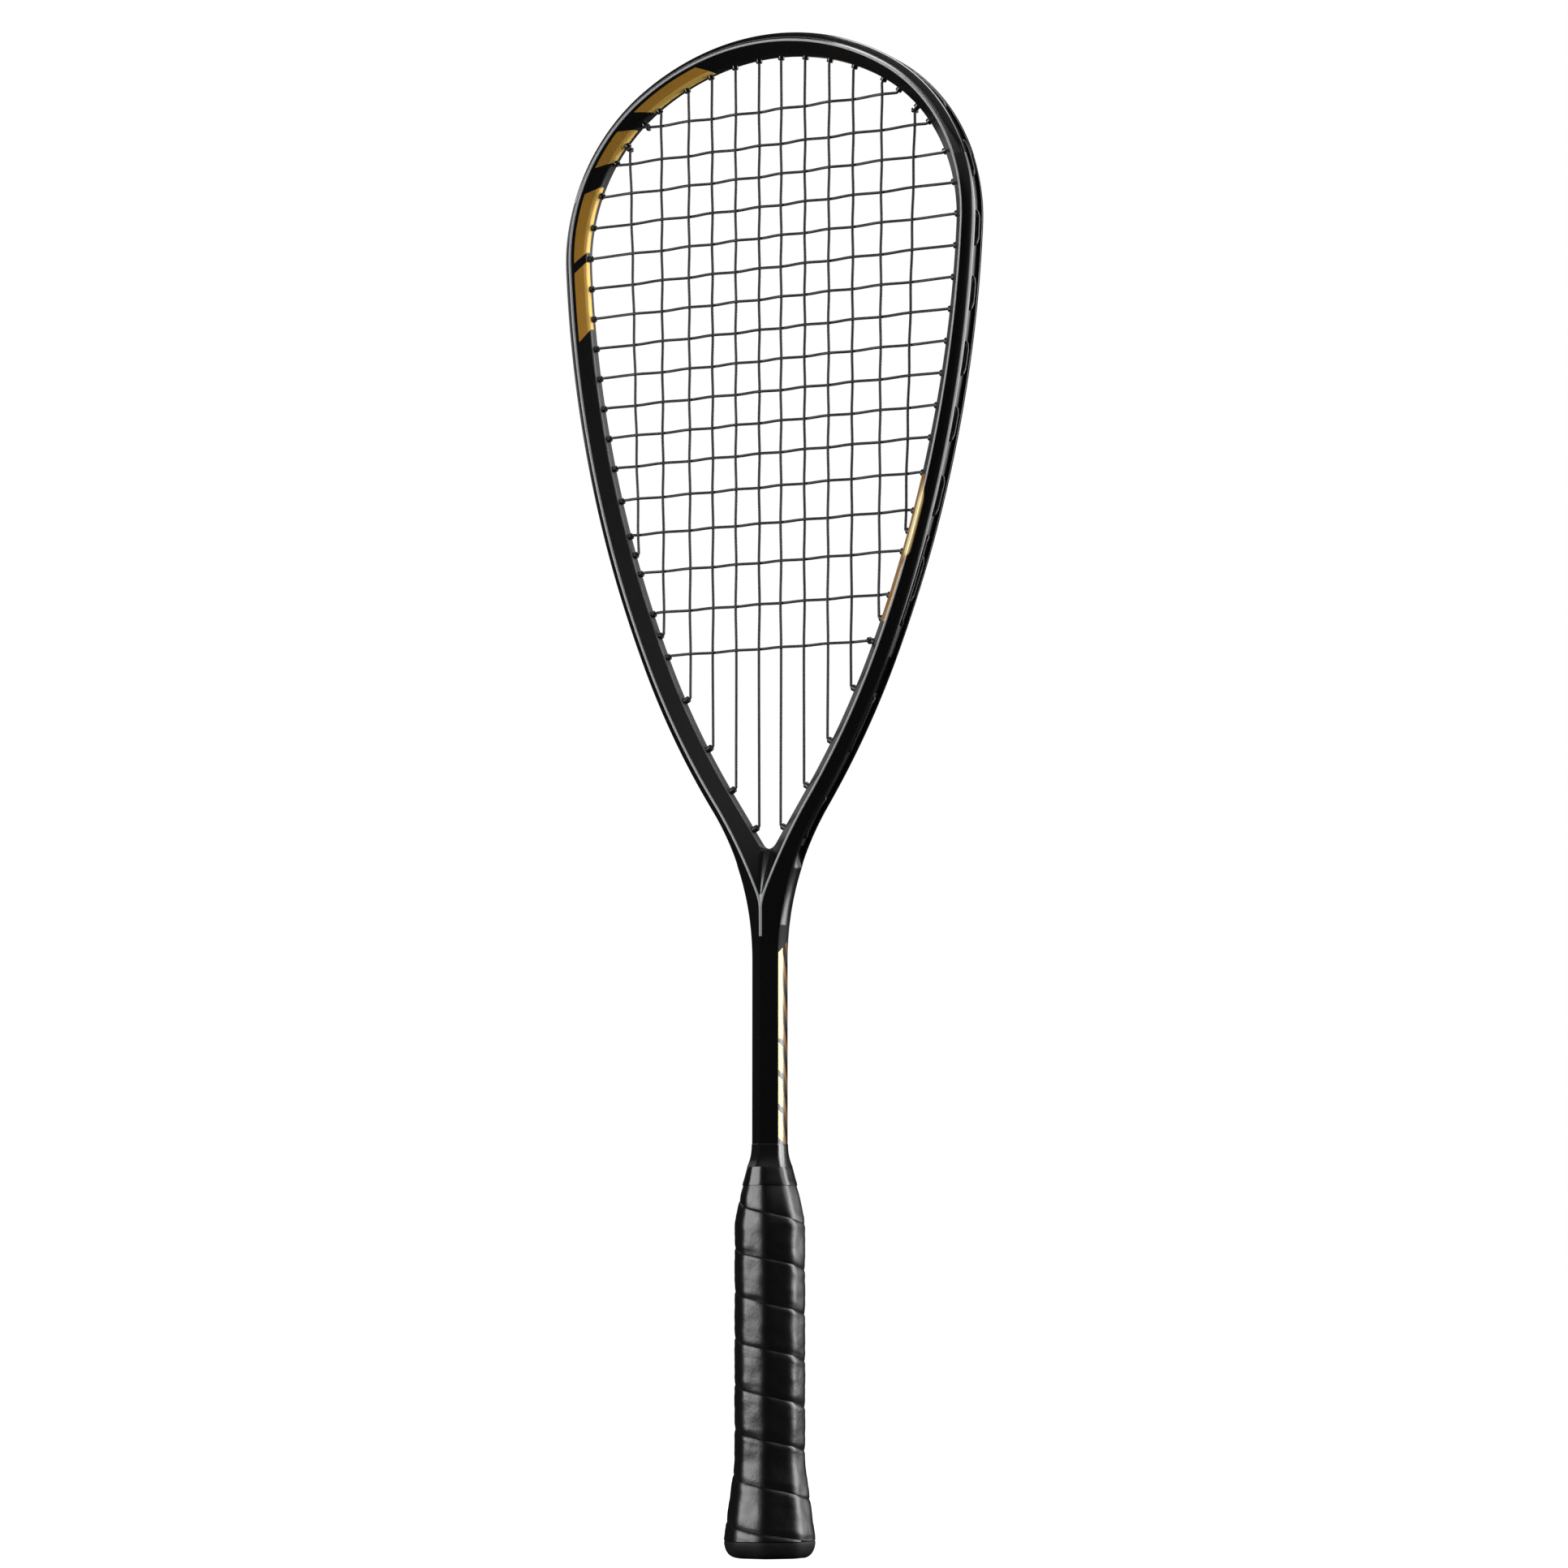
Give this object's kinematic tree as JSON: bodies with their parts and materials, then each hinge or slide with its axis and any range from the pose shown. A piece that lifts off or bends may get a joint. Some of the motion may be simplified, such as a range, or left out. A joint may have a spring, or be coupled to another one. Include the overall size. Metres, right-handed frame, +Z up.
{
  "type": "squash racket",
  "caption": "Squash racket with a teardrop hollow frame, woven string bed in grommet strips and bumper guard, slim shaft and a tape-wound handle with a flared butt cap.",
  "frame": {"origin": "centre of the butt face, at the lower end of the handle", "axes": "+Z up the handle and shaft towards the head, X across the string bed, -Y out of the front face"},
  "size_m": [0.2112, 0.0394, 0.685],
  "materials": {
    "frame_lacquer": "satin black lacquer over carbon fibre, grey pinstripe and gold panels",
    "bumper": "satin black nylon",
    "grommet": "satin black nylon",
    "string": "dark grey synthetic string",
    "core": "black skinned foam",
    "cap": "matt black",
    "staple": "bright steel wire",
    "tape": "black cushioned synthetic leather",
    "band": "glossy black adhesive tape"
  },
  "bodies": {
    "root": {"frame": "frame_lacquer", "bumper_guard": "bumper", "left_grommet_strip": "grommet", "right_grommet_strip": "grommet", "left_throat_strip": "grommet", "right_throat_strip": "grommet", "main_string": "string", "cross_string": "string", "tie_off_knots": "string", "handle_core": "core", "butt_cap": "cap", "butt_cap_staples": "staple", "grip_tape": "tape", "finishing_tape": "band"}
  },
  "joints": []
}
